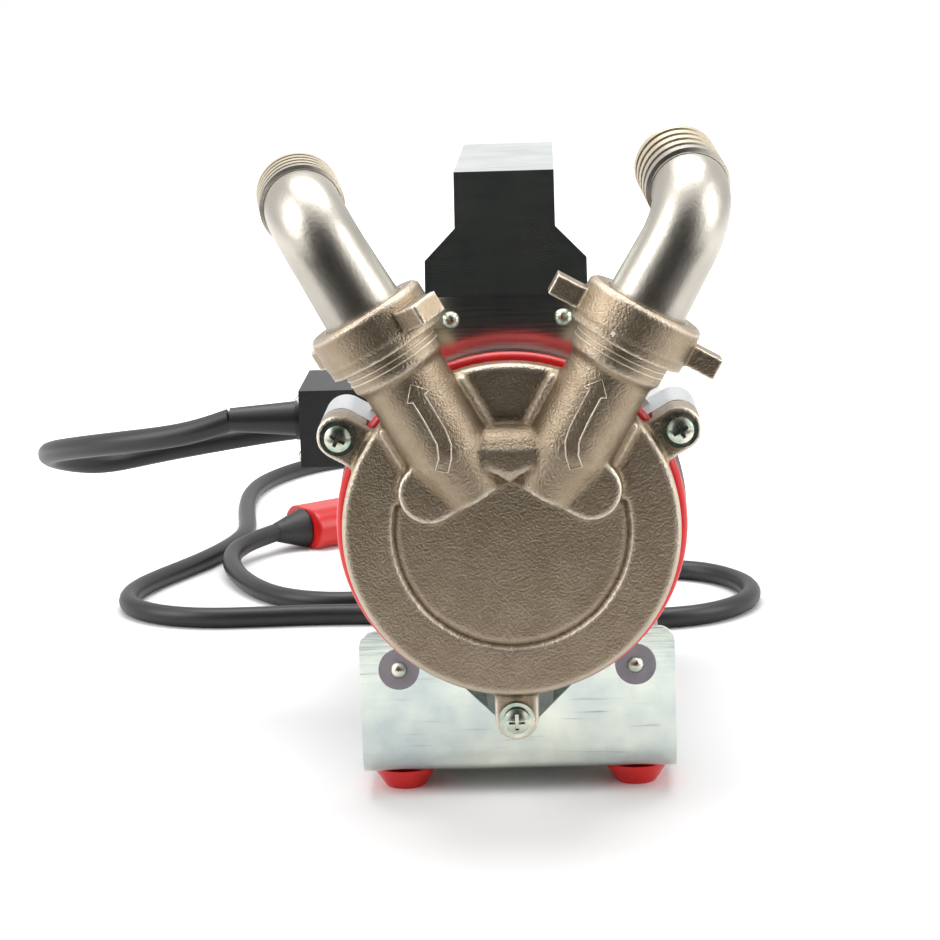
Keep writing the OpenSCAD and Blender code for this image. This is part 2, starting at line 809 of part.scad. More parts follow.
module rear_shield() color("silver") head() difference() {
    union() {
        bar(casing_end, shield_end, motor_r);
        ears(rear_ears, shield_end - ear_t, shield_end);
        ring(casing_end - spigot_l, casing_end, casing_in_r - fit_gap, casing_in_r - spigot_t);
        ring(shield_end, shield_end + cowl_lap, cowl_in_r - fit_gap, cowl_in_r - cowl_seat_t);
    }
    bar(casing_end - over, casing_end + bearing_w, pocket_r);
    bar(casing_end, shield_end + over, shaft_hole_r);
    fastener_holes(rear_ears, shield_end - ear_t - over, shield_end + over);
    round_about(rod_pitch_r, rod_angles) bar(casing_end - over, shield_end + over, rod_r + fit_gap, small_fn);
    cowl_screw_holes(cowl_screw_r + fit_gap);
}

// Motor casing: tube between the shields, with a hole for the wires into the switch box
wire_hole_r = 5;
lid_screw_in = 3.4;
box_out = motor_r + box_depth;
box_l = gland_in + gland_r + free_gap + switch_l + lid_screw_in + box_t;
box_y = casing_end - box_l;
box_mid_y = box_y + box_l / 2;

module wire_hole() {
    translate([-motor_r + casing_t / 2, box_z, -box_mid_y]) rotate([0, -90, 0])
        cylinder(h = 2 * casing_t + box_t, r = wire_hole_r, center = true, $fn = small_fn);
}

module motor_casing() color("gainsboro") head() difference() {
    ring(casing_y, casing_end, motor_r, casing_in_r);
    wire_hole();
}

// Tie rods: studs from the front shield to nuts behind the rear shield
rod_nut_t = 3;
rod_nut_r = 4;

module tie_rods() color("silver") head() round_about(rod_pitch_r, rod_angles)
    bar(casing_y - shield_l / 2 + fit_gap, shield_end + rod_nut_t, rod_r, small_fn);

module tie_rod_nuts() color("silver") head() round_about(rod_pitch_r, rod_angles) difference() {
    bar(shield_end, shield_end + rod_nut_t, rod_nut_r, nut_sides);
    bar(shield_end - over, shield_end + rod_nut_t + over, rod_r + fit_gap, small_fn);
}

// Stator: laminated ring with slots, and the windings' end turns joined by bars in the slots
slot_angles = [for (i = [0 : slot_n - 1]) (i + 0.5) * 360 / slot_n];
tooth_tip = 1.6;
slot_low_r = stator_in_r + tooth_tip;
slot_l = casing_in_r - yoke_t - slot_low_r;
slot_w = PI * slot_low_r / slot_n;
slot_mouth = slot_w / 2;
winding_l = 11;
winding_gap = 0.4;

module slots(gap, from_y, to_y) {
    round_about(0, slot_angles) slab(from_y, to_y)
        translate([slot_low_r + gap, -slot_w / 2 + gap]) square([slot_l - 2 * gap, slot_w - 2 * gap]);
}

module stator_core() color("slategray") head() difference() {
    ring(core_y, core_end, casing_in_r - fit_gap, stator_in_r);
    slots(0, core_y - over, core_end + over);
    round_about(0, slot_angles) slab(core_y - over, core_end + over)
        translate([stator_in_r - over, -slot_mouth / 2]) square([tooth_tip + 2 * over, slot_mouth]);
    round_about(rod_pitch_r, rod_angles) bar(core_y - over, core_end + over, rod_r + free_gap, small_fn);
}

module end_turns(from_y) {
    ring(from_y, from_y + winding_l, slot_low_r + slot_l - winding_gap, slot_low_r + winding_gap);
}

module stator_windings() color("peru") head() {
    slots(winding_gap, core_y - winding_gap * 2, core_end + winding_gap * 2);
    end_turns(core_y - winding_l - winding_gap);
    end_turns(core_end + winding_gap);
}

// Rotor core with cast end rings, pressed on the shaft
end_ring_l = 5;
end_ring_shares = [0.62, 0.9];

module rotor_core() color("darkgray") head() difference() {
    union() {
        bar(core_y, core_end, rotor_r);
        bar(core_y - end_ring_l, core_end + end_ring_l, rotor_r * end_ring_shares[1]);
    }
    bar(core_y - end_ring_l - over, core_end + end_ring_l + over, shaft_r + fit_gap);
    for (y = [core_y - end_ring_l - over, core_end])
        ring(y, y + end_ring_l + over, rotor_r * end_ring_shares[0], shaft_r + fit_gap);
}

// Motor shaft: bearing seats, a thinner front end for the impeller with a thread, and a rear end for the fan
fan_y = shield_end + cowl_lap;
fan_hub_l = fan_l + fan_hub_lap;
fan_end = fan_y + fan_hub_l;

module motor_shaft() color("lightsteelblue") head() difference() {
    union() {
        bar(imp_y - nut_t, imp_y, shaft_thread_r, small_fn);
        bar(imp_y, imp_end, shaft_end_r);
        bar(imp_end, shield_end, shaft_r);
        bar(shield_end, fan_end, shaft_end_r);
    }
    key_space(fit_gap);
}

// Ball bearings: outer ring in the shield, inner ring and balls on the shaft
race_r = (shaft_r + bearing_r) / 2;
ring_wall_share = 0.3;
bearing_wall = (bearing_r - shaft_r) * ring_wall_share;

module ball_groove(y) {
    translate([0, 0, -y - bearing_w / 2]) rotate_extrude($fn = round_fn)
        translate([race_r, 0]) circle(r = ball_r + run_gap, $fn = small_fn);
}

module bearing_outer(y) {
    head() difference() {
        ring(y, y + bearing_w, bearing_r, bearing_r - bearing_wall);
        ball_groove(y);
    }
}

module bearing_inner(y) {
    head() difference() {
        ring(y, y + bearing_w, shaft_r + bearing_wall, shaft_r + fit_gap);
        ball_groove(y);
    }
    head() round_about(race_r, [for (i = [0 : ball_n - 1]) i * 360 / ball_n])
        translate([0, 0, -y - bearing_w / 2]) sphere(r = ball_r, $fn = small_fn);
}

module front_bearing_outer() color("silver") bearing_outer(casing_y - bearing_w);
module front_bearing_inner() color("silver") bearing_inner(casing_y - bearing_w);
module rear_bearing_outer() color("silver") bearing_outer(casing_end);
module rear_bearing_inner() color("silver") bearing_inner(casing_end);

// Cooling fan: hub, disc and straight blades, moulded in one
fan_disc_t = 1.5;
fan_hub_r = 9;
fan_blade_t = 1.8;

module cooling_fan() color("black") head() difference() {
    union() {
        bar(fan_y, fan_end, fan_hub_r);
        bar(fan_end - fan_l - fan_disc_t, fan_end - fan_l, fan_r);
        round_about(0, [for (i = [0 : fan_n - 1]) i * 360 / fan_n]) slab(fan_end - fan_l, fan_end)
            translate([fan_hub_r / 2, -fan_blade_t / 2]) square([fan_r - fan_hub_r / 2, fan_blade_t]);
    }
    bar(fan_y - over, fan_end + over, shaft_end_r + fit_gap);
}

// Fan cowl: cup over the fan with slots in its end and round its side, held by four small screws
cowl_seat_t = 3;
cowl_screw_r = 1.5;
cowl_screw_head_r = 2.6;
cowl_screw_head_h = 1.6;
cowl_screw_y = shield_end + cowl_lap / 2;
cowl_edge = 6.4;
vent_shares = [0.3, 0.82];
side_vent_l = 11;
side_vent_in = 6.6;

module cowl_screw_holes(r) {
    round_about(0, cowl_screw_angles) translate([cowl_in_r - 2 * cowl_seat_t, 0, -cowl_screw_y])
        rotate([0, 90, 0]) cylinder(h = 3 * cowl_seat_t, r = r, $fn = small_fn);
}

module vent_places() {
    round_about(0, [for (i = [0 : vent_n - 1]) i * 360 / vent_n]) children();
}

module fan_cowl() color("dimgray") head() difference() {
    turned([
        [cowl_in_r, shield_end], [motor_r, shield_end], [motor_r, cowl_end - cowl_edge],
        [motor_r - cowl_edge, cowl_end], [0, cowl_end], [0, cowl_end - cowl_t],
        [motor_r - cowl_edge - cowl_t, cowl_end - cowl_t], [cowl_in_r, cowl_end - cowl_edge - cowl_t]
    ]);
    vent_places() slab(cowl_end - 2 * cowl_t, cowl_end + over)
        translate([motor_r * vent_shares[0], -vent_w / 2])
        square([motor_r * (vent_shares[1] - vent_shares[0]), vent_w]);
    vent_places() slab(cowl_end - side_vent_in - side_vent_l, cowl_end - side_vent_in)
        translate([cowl_in_r - over, -vent_w / 2]) square([cowl_t + 2 * over, vent_w]);
    cowl_screw_holes(cowl_screw_r + fit_gap);
}

module cowl_screws() color("silver") head() round_about(0, cowl_screw_angles) {
    translate([motor_r, 0, -cowl_screw_y]) rotate([0, 90, 0]) cap(cowl_screw_head_r, cowl_screw_head_h);
    translate([cowl_in_r - cowl_seat_t, 0, -cowl_screw_y]) rotate([0, 90, 0])
        cylinder(h = cowl_t + cowl_seat_t, r = cowl_screw_r, $fn = small_fn);
}

// Base: one bent sheet, a front and a rear plate that hold the motor's ears and a floor on four feet
base_w = 2 * (base_fix_x + base_edge);
base_top = base_fix_z - base_over;
notch_low = lug_pitch_r + notch_under;
foot_x = base_w / 2 - foot_side;

// A rounded U of the side view, as an outline of depth and height
module u_outline(from_y, to_y, low, high, r) {
    translate([from_y, low + r]) square([to_y - from_y, high - low - r]);
    translate([from_y + r, low]) square([to_y - from_y - 2 * r, 2 * r]);
    for (y = [from_y + r, to_y - r]) translate([y, low + r]) circle(r = r, $fn = round_fn);
}

// Extrudes an outline of depth and height across the width
module across(width) {
    placed() translate([-width / 2, 0, 0]) rotate([90, 0, 90]) linear_extrude(width) children();
}

module base_corners() {
    for (side = [-1, 1]) translate([side * (base_w / 2 - base_corner), -base_top - base_corner])
        difference() {
            translate([side > 0 ? 0 : -base_corner - over, 0])
                square([base_corner + over, base_corner + over]);
            circle(r = base_corner, $fn = round_fn);
        }
}

module base_bracket() color("lightgray") difference() {
    across(base_w) difference() {
        u_outline(plate_y, plate_end, base_h, axis_h - base_top, base_bend);
        u_outline(plate_y + sheet_t, plate_end - sheet_t, base_h + sheet_t, axis_h, base_bend - sheet_t);
    }
    head() {
        bar(plate_y - over, casing_mid, arch_r);
        bar(casing_mid, plate_end + over, rear_arch_r);
        slab(plate_y - over, casing_mid)
            polygon([[-notch_low, -notch_half], [-notch_half, -notch_low], [notch_half, -notch_low],
                [notch_low, -notch_half]]);
        slab(plate_y - over, plate_end + over) base_corners();
        fastener_holes(base_fix_places, plate_y - over, plate_end + over);
    }
    foot_places() translate([0, 0, base_h - over])
        cylinder(h = sheet_t + 2 * over, r = foot_screw_r + fit_gap, $fn = small_fn);
}

// A dome fastener from a surface into an ear, at the front or, turned round, at the rear
module dome_fastener(grip) {
    cap(dome_r, dome_h);
    translate([0, 0, -grip]) cylinder(h = grip, r = dome_shank_r, $fn = small_fn);
}

module fasteners(front_places, rear_places, pack_t) {
    grip = pack_t + sheet_t + ear_t;
    for (p = front_places) translate([p[0], p[1], pack_t - plate_y]) dome_fastener(grip);
    for (p = rear_places)
        translate([p[0], p[1], -plate_end - pack_t]) rotate([180, 0, 0]) dome_fastener(grip);
}

module base_fasteners() color("silver") head() fasteners(base_fix_places, base_fix_places, spacer_t);

module base_spacers() color("gray") head() for (y = [plate_y - spacer_t, plate_end]) difference() {
    for (p = base_fix_places) translate(p) bar(y, y + spacer_t, spacer_r, small_fn);
    fastener_holes(base_fix_places, y - over, y + spacer_t + over);
}

// Feet: rubber cones under the base, each held by a sunk screw and a nut
foot_sink = 2.5;
foot_head_r = 3.4;
foot_head_h = 1.8;
foot_nut_r = 4;
foot_nut_t = 3.2;

module foot_places() {
    placed() for (side = [-1, 1], y = [plate_y + foot_in, plate_end - foot_in])
        translate([side * foot_x, y, 0]) children();
}

module feet() color("red") foot_places() difference() {
    cylinder(h = base_h, r1 = foot_low_r, r2 = foot_top_r, $fn = round_fn);
    translate([0, 0, -over])
        cylinder(h = foot_sink + foot_head_h + over, r = foot_head_r + fit_gap, $fn = small_fn);
    translate([0, 0, -over]) cylinder(h = base_h + 2 * over, r = foot_screw_r + fit_gap, $fn = small_fn);
}

module foot_screws() color("silver") foot_places() {
    translate([0, 0, foot_sink]) cylinder(h = foot_head_h, r = foot_head_r, $fn = small_fn);
    translate([0, 0, foot_sink])
        cylinder(h = base_h + sheet_t + foot_nut_t - foot_sink + over, r = foot_screw_r, $fn = small_fn);
}

module foot_nuts() color("silver") foot_places() translate([0, 0, base_h + sheet_t]) difference() {
    cylinder(h = foot_nut_t, r = foot_nut_r, $fn = nut_sides);
    translate([0, 0, -over]) cylinder(h = foot_nut_t + 2 * over, r = foot_screw_r + fit_gap, $fn = small_fn);
}

// Handle: one bent strap over the motor, wide at its front foot and narrower at the grip and the rear leg
handle_w = 2 * (front_fix_places[1][0] + handle_edge);
handle_bend = motor_r + bend_rise;
handle_neck = motor_r + neck_rise;
handle_top = motor_r + grip_rise;
leg_run = (handle_top - handle_bend) * tan(handle_lean);
strap_back = sheet_t * (1 / cos(handle_lean) - tan(handle_lean));
strap_low = sheet_t * tan(handle_lean / 2);

module strap_outline() {
    polygon([
        [plate_y, 0], [plate_y, handle_bend], [plate_y + leg_run, handle_top],
        [plate_end - leg_run, handle_top], [plate_end, handle_bend], [plate_end, 0],
        [plate_end - sheet_t, 0], [plate_end - sheet_t, handle_bend - strap_low],
        [plate_end - leg_run - strap_back, handle_top - sheet_t],
        [plate_y + leg_run + strap_back, handle_top - sheet_t],
        [plate_y + sheet_t, handle_bend - strap_low], [plate_y + sheet_t, 0]
    ]);
}

module handle() color("lightgray") difference() {
    translate([0, 0, axis_h]) across(handle_w) strap_outline();
    head() {
        bar(plate_y - over, casing_mid, arch_r);
        bar(casing_mid, plate_end + over, rear_arch_r);
        for (side = [-1, 1]) {
            slab(plate_y - over, casing_mid) polygon([
                [side * (handle_w / 2 + over), handle_neck - over],
                [side * grip_w / 2, handle_neck + (handle_w - grip_w) / 2],
                [side * grip_w / 2, handle_top + over], [side * (handle_w / 2 + over), handle_top + over]
            ]);
            slab(casing_mid, plate_end + over) polygon([
                [side * grip_w / 2, 0], [side * (handle_w / 2 + over), 0],
                [side * (handle_w / 2 + over), handle_top + over], [side * grip_w / 2, handle_top + over]
            ]);
        }
        fastener_holes(front_fix_places, plate_y - over, plate_y + sheet_t + over);
        fastener_holes(rear_fix_places, plate_end - sheet_t - over, plate_end + over);
    }
}

module handle_fasteners() color("silver") head() fasteners(front_fix_places, rear_fix_places, 0);

// Switch box: moulded box on the motor's left side, with a lid that carries the switch and the cable gland
box_in_share = 0.8;
box_in = motor_r * box_in_share;
box_low = box_z - box_h / 2;
lid_screw_r = 1;
lid_screw_head_r = 2;
lid_screw_head_h = 1.2;
lid_screw_l = 8;
gland_y = box_y + gland_in;
gland_z = box_z + gland_up;
switch_y = box_y + box_l - box_t - lid_screw_in - switch_l / 2;
switch_depth = 9;
bezel_t = 1;

// A block of the front view between two X places, two depths and two heights
module block(from_x, to_x, from_y, to_y, low, high) {
    translate([from_x, low, -to_y]) cube([to_x - from_x, high - low, to_y - from_y]);
}

module lid_screw_places() {
    for (y = [box_y + lid_screw_in, box_y + box_l - lid_screw_in], side = [-1, 1])
        translate([-box_out, box_z + side * (box_h / 2 - lid_screw_in), -y]) rotate([0, -90, 0]) children();
}

module switch_box() color([0.1, 0.1, 0.1]) head() difference() {
    block(-box_out + lid_t, -box_in, box_y, box_y + box_l, box_low, box_low + box_h);
    difference() {
        block(-box_out, -motor_r - box_t, box_y + box_t, box_y + box_l - box_t,
            box_low + box_t, box_low + box_h - box_t);
        lid_screw_places() cylinder(h = 4 * box_out, r = lid_screw_in, center = true, $fn = small_fn);
    }
    bar(box_y - over, box_y + box_l + over, motor_r + fit_gap);
    lid_screw_places() translate([0, 0, -lid_t - lid_screw_l])
        cylinder(h = 2 * lid_screw_l, r = lid_screw_r + fit_gap, $fn = small_fn);
    wire_hole();
}

module box_lid() color([0.13, 0.13, 0.13]) head() difference() {
    block(-box_out, -box_out + lid_t, box_y, box_y + box_l, box_low, box_low + box_h);
    lid_screw_places() cylinder(h = 4 * lid_t, r = lid_screw_r + fit_gap, center = true, $fn = small_fn);
    translate([-box_out, gland_z, -gland_y]) rotate([0, -90, 0])
        cylinder(h = 4 * lid_t, r = gland_neck_r + fit_gap, center = true, $fn = small_fn);
    block(-box_out - over, -box_out + lid_t + over,
        switch_y - switch_l / 2 + bezel_t, switch_y + switch_l / 2 - bezel_t,
        box_z - switch_h / 2 + bezel_t, box_z + switch_h / 2 - bezel_t);
}

module box_screws() color("silver") head() lid_screw_places() {
    cap(lid_screw_head_r, lid_screw_head_h);
    translate([0, 0, -lid_t - lid_screw_l + over])
        cylinder(h = lid_t + lid_screw_l - over, r = lid_screw_r, $fn = small_fn);
}

// Reversing switch: housing through the lid with a bezel, and a rocker on two stub pins
rocker_wall = 1;
rocker_r = switch_l / 2 - bezel_t - rocker_wall - free_gap;
rocker_h = switch_h - 2 * bezel_t - 2 * rocker_wall - 2 * free_gap;
rocker_pin_r = 1;
dish_share = 2.2;
rise_share = 0.5;
back_share = 1.35;
rocker_in = 1.2;
rocker_x = -box_out + rocker_in;

module switch_body() color([0.08, 0.08, 0.08]) head() difference() {
    union() {
        block(-box_out - bezel_t, -box_out - fit_gap, switch_y - switch_l / 2, switch_y + switch_l / 2,
            box_z - switch_h / 2, box_z + switch_h / 2);
        block(-box_out - fit_gap, -box_out + lid_t + switch_depth,
            switch_y - switch_l / 2 + bezel_t + fit_gap, switch_y + switch_l / 2 - bezel_t - fit_gap,
            box_z - switch_h / 2 + bezel_t + fit_gap, box_z + switch_h / 2 - bezel_t - fit_gap);
    }
    block(-box_out - bezel_t - over, -box_out + lid_t + switch_depth - 2 * rocker_wall,
        switch_y - switch_l / 2 + bezel_t + rocker_wall, switch_y + switch_l / 2 - bezel_t - rocker_wall,
        box_z - rocker_h / 2 - free_gap, box_z + rocker_h / 2 + free_gap);
    translate([rocker_x, box_z, -switch_y]) rotate([90, 0, 0])
        cylinder(h = rocker_h + 2 * free_gap + 2 * rocker_wall, r = rocker_pin_r + run_gap,
            center = true, $fn = small_fn);
}

module switch_rocker() color("black") head() translate([rocker_x, box_z, -switch_y]) rotate([90, 0, 0]) {
    intersection() {
        difference() {
            cylinder(h = rocker_h, r = rocker_r, center = true, $fn = round_fn);
            translate([-dish_share * rocker_r, 0, 0])
                cylinder(h = 2 * rocker_h, r = (dish_share - rise_share) * rocker_r,
                    center = true, $fn = round_fn);
        }
        translate([-rocker_r, -rocker_r, -rocker_h])
            cube([back_share * rocker_r, 2 * rocker_r, 2 * rocker_h]);
    }
    cylinder(h = rocker_h + 2 * free_gap + rocker_wall, r = rocker_pin_r, center = true, $fn = small_fn);
}

// Terminal block on the box's floor, between switch and gland
term_w = 5;
term_l = 14;
term_h = 9;
term_hole_r = 1.4;
term_pitch = 4.6;

module terminal_block() color("ivory") head() difference() {
    block(-motor_r - box_t - term_w, -motor_r - box_t, gland_y - term_l / 2 + box_t,
        gland_y + term_l / 2 + box_t, box_low + box_t + fit_gap, box_low + box_t + term_h);
    for (i = [-1, 0, 1])
        translate([-motor_r - box_t, box_low + box_t + term_h / 2, -gland_y - box_t - i * term_pitch])
        rotate([0, 90, 0]) cylinder(h = 3 * term_w, r = term_hole_r, center = true, $fn = small_fn);
}

// Cable gland: flange against the lid, neck through it and a tapered strain relief
gland_neck_r = 5;
gland_flange_t = 2;
relief_low_r = 6;

module cable_gland() color("black") head() translate([-box_out, gland_z, -gland_y]) rotate([0, -90, 0]) {
    translate([0, 0, -lid_t - gland_flange_t]) difference() {
        cylinder(h = lid_t + gland_flange_t, r = gland_neck_r, $fn = small_fn);
        translate([0, 0, -over]) cylinder(h = gland_flange_t + lid_t, r = cord_r / 2, $fn = small_fn);
    }
    cylinder(h = gland_flange_t, r = gland_r, $fn = round_fn);
    translate([0, 0, gland_flange_t])
        cylinder(h = relief_l - gland_flange_t, r1 = relief_low_r, r2 = cord_r + 2 * run_gap, $fn = round_fn);
}

// Motor capacitor: can that lies on the base under the motor, held by a clip
clip_t = 0.8;
cap_r = (motor_clear - base_h - sheet_t - cap_gap) / 2;
cap_neck_l = 3;
cap_neck_share = 0.7;
cap_y = casing_mid - cap_l / 2;
cap_z = base_h + sheet_t + clip_t + cap_r;
clip_foot = 9;

module capacitor() color("silver") placed() translate([0, cap_y, cap_z]) rotate([-90, 0, 0]) {
    cylinder(h = cap_l, r = cap_r, $fn = round_fn);
    translate([0, 0, cap_l]) cylinder(h = cap_neck_l, r = cap_r * cap_neck_share, $fn = round_fn);
}

module capacitor_clip() color("gainsboro") placed() translate([0, casing_mid - clip_w / 2, 0]) difference() {
    union() {
        translate([0, 0, cap_z]) rotate([-90, 0, 0]) cylinder(h = clip_w, r = cap_r + clip_t, $fn = round_fn);
        translate([-cap_r - clip_foot, 0, base_h + sheet_t]) cube([2 * (cap_r + clip_foot), clip_w, clip_t]);
    }
    translate([0, -over, cap_z]) rotate([-90, 0, 0])
        cylinder(h = clip_w + 2 * over, r = cap_r + fit_gap, $fn = round_fn);
}

// Mains lead: the free route of its middle line, from the strain relief to the plug
cord_start = [-box_out - relief_l, gland_y, axis_h + gland_z];
cord_route = [
    [-114, 122, 101], [-141, 133, 97], [-164, 155, 91], [-178, 183, 84], [-163, 212, 73], [-145, 223, 75],
    [-121, 229, 78], [-60, 240, 85], [-22, 252, 73], [30, 287, 47], [60, 339, 17], [67, 398, 4],
    [61, 459, 4], [35, 515, 4], [-6, 553, 4], [-54, 572, 4], [-101, 566, 4], [-129, 524, 4],
    [-137, 482, 4], [-131, 428, 4], [-125, 388, 4], [-142, 338, 4], [-163, 302, 4], [-166, 266, 4],
    [-133, 241, 4], [-82, 250, 4], [-19, 240, 4], [40, 226, 4], [77, 232, 4], [98, 267, 4],
    [78, 309, 4], [39, 311, 4], [-6, 295, 4], [-50, 266, 4], [-93, 265, 4], [-119, 300, 4],
    [-133, 348, 7]
];
plug_tip = [-112, 374, 9];
plug_turn = 38;
cord_points = concat([cord_start], cord_route, [plug_tip]);
cord_sides = 10;
cord_rings = 78;

// Points before and after the route, so that the curve starts and ends on its first and last point
cord_last = len(cord_points) - 1;
cord_guides = concat([2 * cord_points[0] - cord_points[1]], cord_points,
    [2 * cord_points[cord_last] - cord_points[cord_last - 1]]);

// Smooth curve along the route, at parameter t from 0 to the last point
function smooth(t) =
    let (i = min(floor(t), cord_last - 1), u = t - i, v = 1 - u)
    (v * v * v * cord_guides[i] + (3 * u * u * u - 6 * u * u + 4) * cord_guides[i + 1]
        + (3 * v * v * v - 6 * v * v + 4) * cord_guides[i + 2] + u * u * u * cord_guides[i + 3]) / 6;

function unit(v) = v / norm(v);

// Direction of the middle line: straight out of the gland, and straight into the plug
heading_step = 0.05;
function heading(t) =
    t <= 0 ? [-1, 0, 0] : t >= cord_last ? [cos(plug_turn), sin(plug_turn), 0] :
    unit(smooth(t + heading_step) - smooth(t - heading_step));

module power_cord() color([0.1, 0.1, 0.1]) placed() {
    verts = [
        for (k = [0 : cord_rings - 1])
            let (t = cord_last * k / (cord_rings - 1), p = smooth(t), w = heading(t),
                side = unit(cross([0, 0, 1], w)), up = cross(w, side))
            for (s = [0 : cord_sides - 1])
                let (a = (s + 0.5) * 360 / cord_sides) p + cord_r * (side * cos(a) + up * sin(a))
    ];
    walls = [
        for (k = [0 : cord_rings - 2], s = [0 : cord_sides - 1])
            let (a = k * cord_sides + s, b = k * cord_sides + (s + 1) % cord_sides)
            each [[a, b + cord_sides, b], [a, a + cord_sides, b + cord_sides]]
    ];
    first = [for (s = [0 : cord_sides - 1]) s];
    last = [for (s = [cord_sides - 1 : -1 : 0]) (cord_rings - 1) * cord_sides + s];
    polyhedron(points = verts, faces = concat(walls, [first], [last]), convexity = 10);
}

// Plug: flat two-pin body lying on the floor, black sleeve and cap with a red shell between
sleeve_l = 15;
cap_part_l = 4;

module plug_frame() {
    placed() translate(plug_tip) rotate([0, 0, plug_turn]) rotate([90, 0, 90]) children();
}

module plug_outline(width, height, r) {
    for (x = [-1, 1]) translate([x * (width / 2 - r), 0]) circle(r = r, $fn = small_fn);
    square([width - 2 * r, 2 * r], center = true);
}

module plug_body() color("red") plug_frame() translate([0, 0, sleeve_l])
    linear_extrude(plug_l) plug_outline(plug_w, plug_h, plug_h / 2);

module plug_cap() color("black") plug_frame() {
    cylinder(h = sleeve_l, r1 = cord_r + run_gap * 2, r2 = plug_h / 2 - run_gap, $fn = round_fn);
    translate([0, 0, sleeve_l + plug_l]) linear_extrude(cap_part_l)
        difference() {
            plug_outline(plug_w, plug_h, plug_h / 2);
            for (x = [-1, 1]) translate([x * pin_gap / 2, 0]) circle(r = pin_r + fit_gap, $fn = small_fn);
        }
}

module plug_pins() color("silver") plug_frame() for (x = [-1, 1])
    translate([x * pin_gap / 2, 0, sleeve_l + plug_l])
        cylinder(h = pin_l + cap_part_l, r = pin_r, $fn = small_fn);

pump_cover();
cover_screws();
cover_washers();
red_ring();
cover_oring();
pump_body();
shaft_seal();
impeller();
impeller_key();
impeller_nut();
left_union_nut();
right_union_nut();
left_elbow();
right_elbow();
port_seals();
front_shield();
motor_casing();
rear_shield();
tie_rods();
tie_rod_nuts();
stator_core();
stator_windings();
rotor_core();
motor_shaft();
front_bearing_outer();
front_bearing_inner();
rear_bearing_outer();
rear_bearing_inner();
cooling_fan();
fan_cowl();
cowl_screws();
base_bracket();
base_fasteners();
base_spacers();
feet();
foot_screws();
foot_nuts();
handle();
handle_fasteners();
switch_box();
box_lid();
box_screws();
switch_body();
switch_rocker();
terminal_block();
cable_gland();
capacitor();
capacitor_clip();
power_cord();
plug_body();
plug_cap();
plug_pins();
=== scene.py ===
import math

import bmesh
import bpy
from mathutils import Matrix, Vector


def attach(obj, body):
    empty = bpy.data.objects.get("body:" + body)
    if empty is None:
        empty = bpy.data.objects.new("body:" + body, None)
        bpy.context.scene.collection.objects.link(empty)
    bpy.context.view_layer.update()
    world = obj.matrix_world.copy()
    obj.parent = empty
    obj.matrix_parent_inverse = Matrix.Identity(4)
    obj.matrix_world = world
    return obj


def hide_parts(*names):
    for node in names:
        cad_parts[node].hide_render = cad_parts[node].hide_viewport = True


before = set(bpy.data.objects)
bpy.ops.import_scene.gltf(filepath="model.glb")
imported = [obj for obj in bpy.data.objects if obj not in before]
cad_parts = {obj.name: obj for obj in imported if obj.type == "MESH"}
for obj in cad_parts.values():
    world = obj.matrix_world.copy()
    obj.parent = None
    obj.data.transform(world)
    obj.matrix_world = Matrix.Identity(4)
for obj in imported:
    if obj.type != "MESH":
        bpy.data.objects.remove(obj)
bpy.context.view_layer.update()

MM = 0.001


# Camera: 0.77 m in front of the cover, a little to its right and higher than the handle, looking 9 degrees
# down. It is turned a little clockwise, as the photo is, and its lens looks past the frame's middle.
camera = bpy.data.objects.new("camera", bpy.data.cameras.new("camera"))
bpy.context.scene.collection.objects.link(camera)
bpy.context.scene.camera = camera
camera.data.sensor_width = 36
camera.data.lens = 100.7
camera.data.shift_y = -0.106
camera.data.clip_end = 30
eye = Vector((28.8, -859.4, 267.4))
yaw = math.radians(-1.84)
pitch = math.radians(9.31)
roll = math.radians(1.80)
ahead = Vector((math.sin(yaw) * math.cos(pitch), math.cos(yaw) * math.cos(pitch), -math.sin(pitch)))
level = Vector((math.cos(yaw), -math.sin(yaw), 0))
above = level.cross(ahead)
across = level * math.cos(roll) - above * math.sin(roll)
upward = level * math.sin(roll) + above * math.cos(roll)
turned = Matrix((across, upward, -ahead)).transposed().to_4x4()
camera.matrix_world = Matrix.Translation(eye * MM) @ turned
bpy.context.scene.view_settings.view_transform = "Standard"


# Mains lead: round two-core lead with a black rubber sheath, 8 mm thick. It leaves the switch box
# through a tapered strain relief, arches down to the floor and lies there in two loose loops.
def colour(text):
    """Linear colour, with alpha, from an sRGB hex value."""
    parts = [int(text[i:i + 2], 16) / 255 for i in (0, 2, 4)]
    return [c / 12.92 if c <= 0.04045 else ((c + 0.055) / 1.055) ** 2.4 for c in parts] + [1]


def material(name, settings):
    """A new material and its shader, with the shader's own sockets set."""
    made = bpy.data.materials.new(name)
    made.use_nodes = True
    shader = made.node_tree.nodes["Principled BSDF"]
    for socket, value in settings.items():
        shader.inputs[socket].default_value = value
    return made, shader


def add(made, kind, inputs, **settings):
    """Adds a node with its settings, and its inputs as values or as links from other nodes' sockets."""
    new = made.node_tree.nodes.new(kind)
    for name, value in settings.items():
        setattr(new, name, value)
    for name, value in inputs.items():
        if isinstance(value, bpy.types.NodeSocket):
            made.node_tree.links.new(value, new.inputs[name])
        else:
            new.inputs[name].default_value = value
    return new


def join(made, out, shader, socket):
    """Links a node's output to one of the shader's sockets."""
    made.node_tree.links.new(out, shader.inputs[socket])


def noise(made, place, scale, detail, roughness=0.5):
    """Noise over the surface, scale being its cells per metre."""
    return add(made, "ShaderNodeTexNoise", {"Vector": place, "Scale": scale, "Detail": detail,
                                            "Roughness": roughness}).outputs["Fac"]


